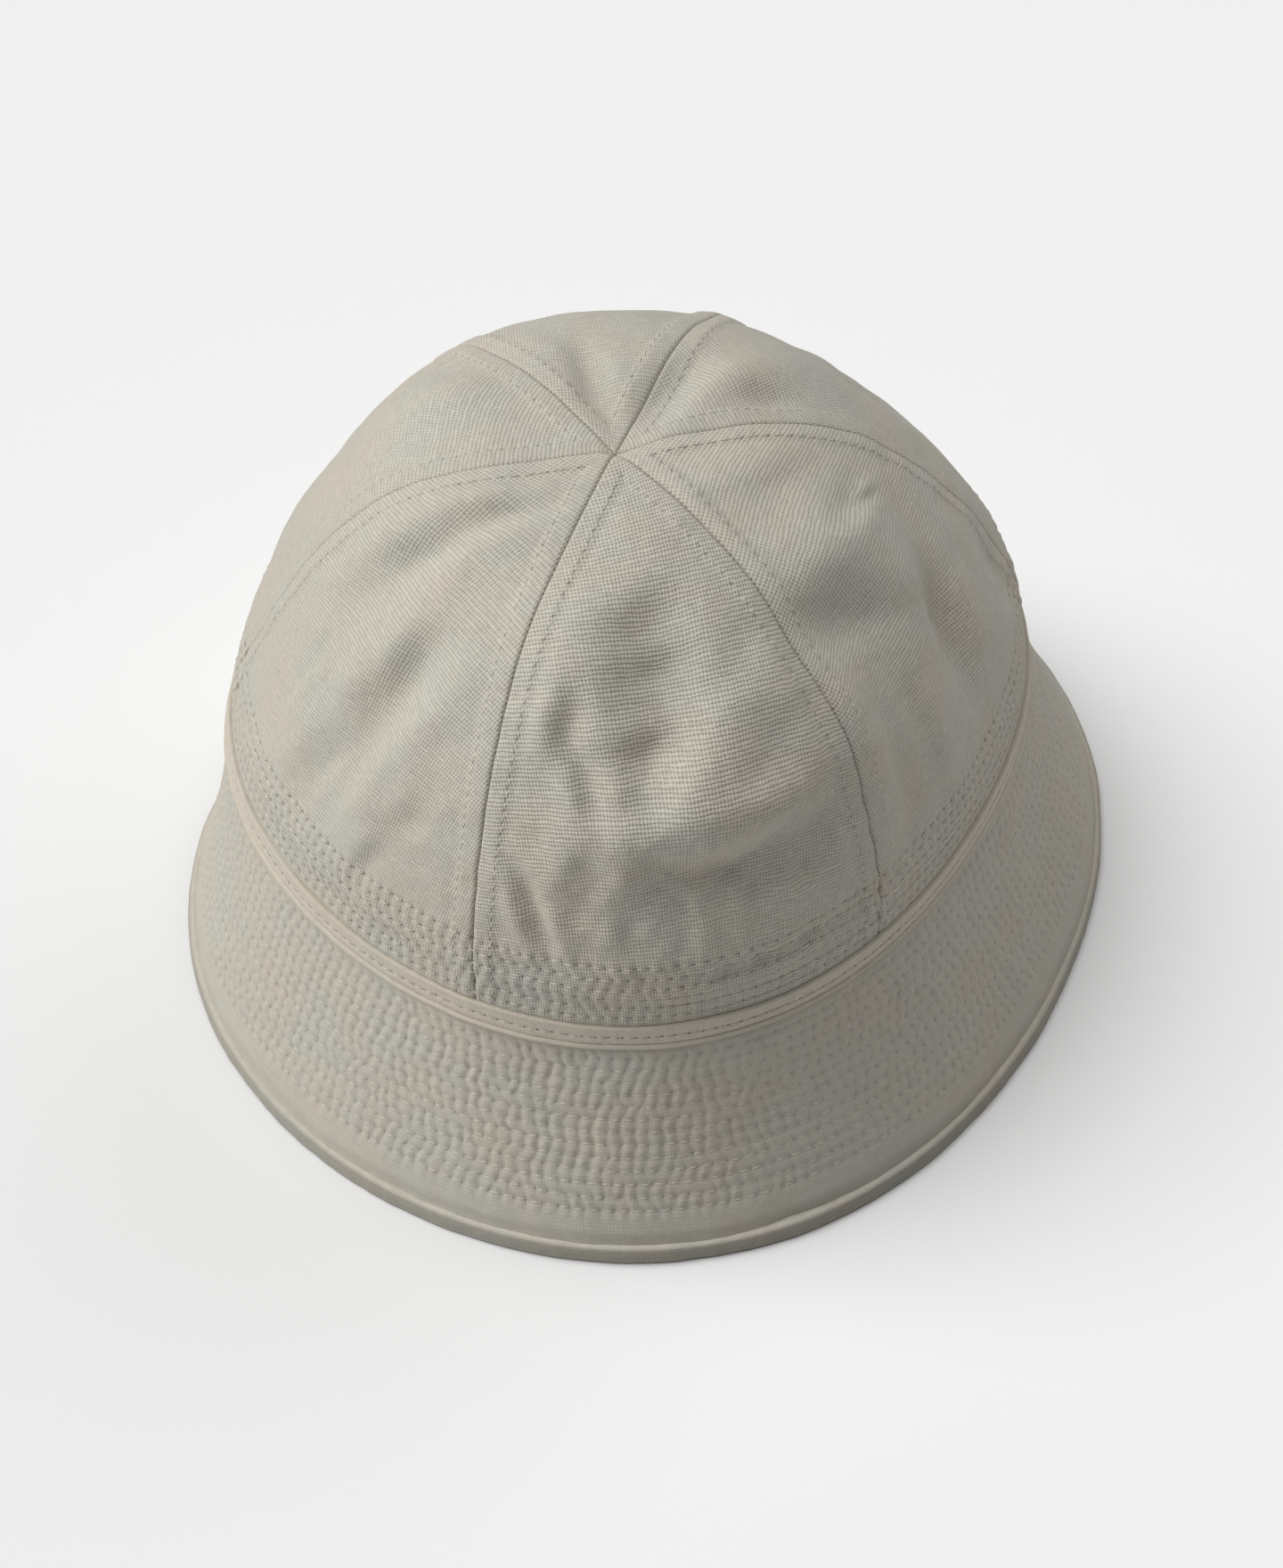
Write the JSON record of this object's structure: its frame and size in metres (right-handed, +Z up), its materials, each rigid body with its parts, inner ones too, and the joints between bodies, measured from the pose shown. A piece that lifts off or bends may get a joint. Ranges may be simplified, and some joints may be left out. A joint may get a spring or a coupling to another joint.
{
  "type": "sailor cap",
  "caption": "Soft cotton sailor cap with a gored crown, a tape over the crown seam, and a steep turned-down brim with a rolled edge; it stands on its brim.",
  "frame": {"origin": "centre of the bounding box on the surface that the cap stands on", "axes": "+Z up through the crown, -Y towards the front of the cap, +X to the right seen from the front"},
  "size_m": [0.2308, 0.2278, 0.166],
  "materials": {
    "crown_cloth": "undyed cotton, ribbed plain weave",
    "tape_cloth": "cream cotton tape, folded edge",
    "brim_cloth": "undyed cotton, closely stitched in rows",
    "edge_cloth": "undyed cotton, rolled edge"
  },
  "bodies": {
    "root": {"crown_panel_front": "crown_cloth", "crown_panel_front_right": "crown_cloth", "crown_panel_back_right": "crown_cloth", "crown_panel_back": "crown_cloth", "crown_panel_back_left": "crown_cloth", "crown_panel_front_left": "crown_cloth", "seam_tape": "tape_cloth", "brim": "brim_cloth", "brim_edge": "edge_cloth"}
  },
  "joints": []
}
